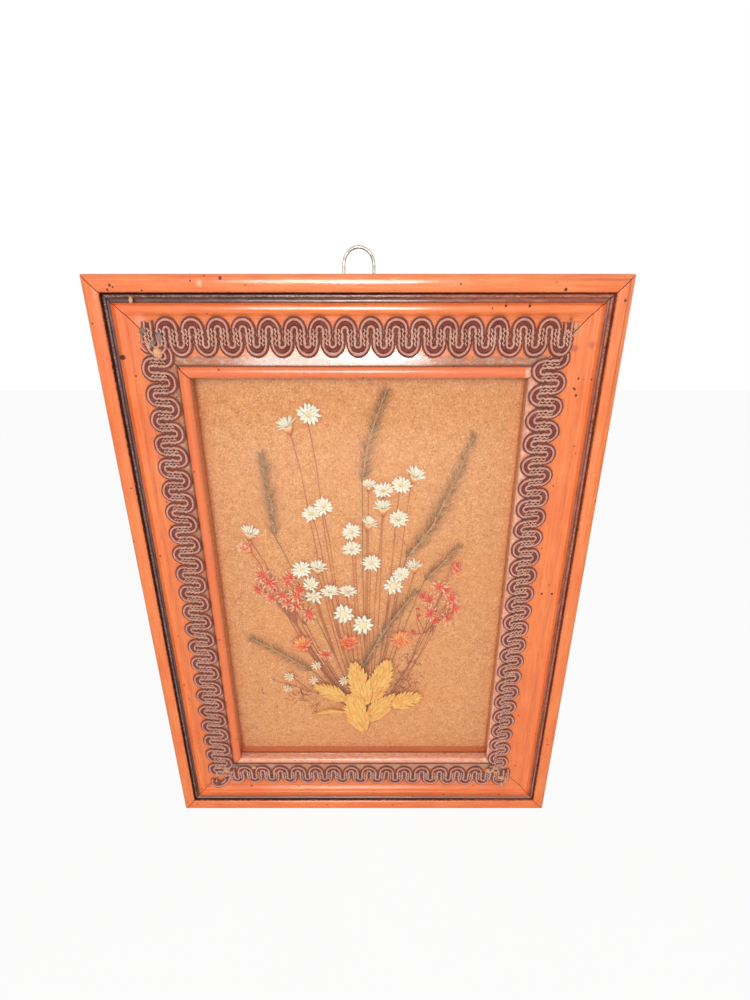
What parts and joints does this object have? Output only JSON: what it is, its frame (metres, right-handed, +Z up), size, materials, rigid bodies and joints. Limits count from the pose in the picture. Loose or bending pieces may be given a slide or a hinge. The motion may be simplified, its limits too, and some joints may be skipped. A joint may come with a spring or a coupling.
{
  "type": "framed dried flower arrangement",
  "caption": "Upright wooden frame trimmed with gimp braid, with pressed star flowers, red sprays, foxtail grass and husks on a cloth ground behind glass, and a wire hanging ring.",
  "frame": {"origin": "middle of the bottom rail's lower edge face, halfway through the frame's thickness", "axes": "+Z up the frame, +X to the right as seen from the front, and the front faces -Y"},
  "size_m": [0.193, 0.0227, 0.2525],
  "materials": {
    "varnished_wood": "glossy varnish over open-grained orange-brown wood",
    "gimp_braid": "matt mauve-brown woven cords",
    "nail_steel": "satin",
    "hanger_steel": "bright satin",
    "clear_glass": "clear and glossy",
    "card": "matt uncoated card",
    "backing_card": "matt brown board",
    "ground_cloth": "matt napped orange-tan cloth",
    "husk": "dry and slightly silky",
    "foxtail": "matt and hairy",
    "orange_petals": "matt and dry",
    "red_petals": "matt and dry",
    "cream_petals": "matt and papery"
  },
  "bodies": {
    "frame": {"backing_board": "backing_card", "brad_bottom": "nail_steel", "brad_left": "nail_steel", "brad_right": "nail_steel", "brad_top": "nail_steel", "braid_bottom": "gimp_braid", "braid_left": "gimp_braid", "braid_right": "gimp_braid", "braid_top": "gimp_braid", "foxtail_far_right": "foxtail", "foxtail_left": "foxtail", "foxtail_low_left": "foxtail", "foxtail_low_right": "foxtail", "foxtail_middle": "foxtail", "foxtail_right": "foxtail", "glass": "clear_glass", "ground_cloth_card": "ground_cloth", "hanger_strap": "hanger_steel", "husk_left": "husk", "husk_lower_left": "husk", "husk_lower_right": "husk", "husk_right": "husk", "husk_thin": "husk", "husk_upper_left": "husk", "husk_upper_right": "husk", "orange_flower_left": "orange_petals", "orange_flower_right": "orange_petals", "rail_bottom": "varnished_wood", "rail_left": "varnished_wood", "rail_right": "varnished_wood", "rail_top": "varnished_wood", "red_bud_left": "red_petals", "red_cup_flower": "red_petals", "red_spray_left": "red_petals", "red_spray_right": "red_petals", "small_red_flower": "red_petals", "small_star_flower_1": "cream_petals", "small_star_flower_2": "cream_petals", "small_star_sprig": "cream_petals", "spacer_frame": "card", "star_flower_1": "cream_petals", "star_flower_10": "cream_petals", "star_flower_12": "cream_petals", "star_flower_16": "cream_petals", "star_flower_17": "cream_petals", "star_flower_2": "cream_petals", "star_flower_4": "cream_petals", "star_flower_9": "cream_petals", "star_pair_11": "cream_petals", "star_pair_13": "cream_petals", "star_pair_14": "cream_petals", "star_pair_15": "cream_petals", "star_pair_3": "cream_petals", "star_pair_5": "cream_petals", "star_pair_6": "cream_petals", "star_pair_7": "cream_petals", "star_pair_8": "cream_petals", "strap_nail_1": "nail_steel", "strap_nail_2": "nail_steel"},
    "ring": {"hanger_ring": "hanger_steel"}
  },
  "joints": [
    {"name": "ring_hinge", "type": "hinge", "parent": "frame", "child": "ring", "pos_m": [0, 0.0114, 0.2408], "axis": [-1, 0, 0], "range_deg": [0, 165]}
  ]
}
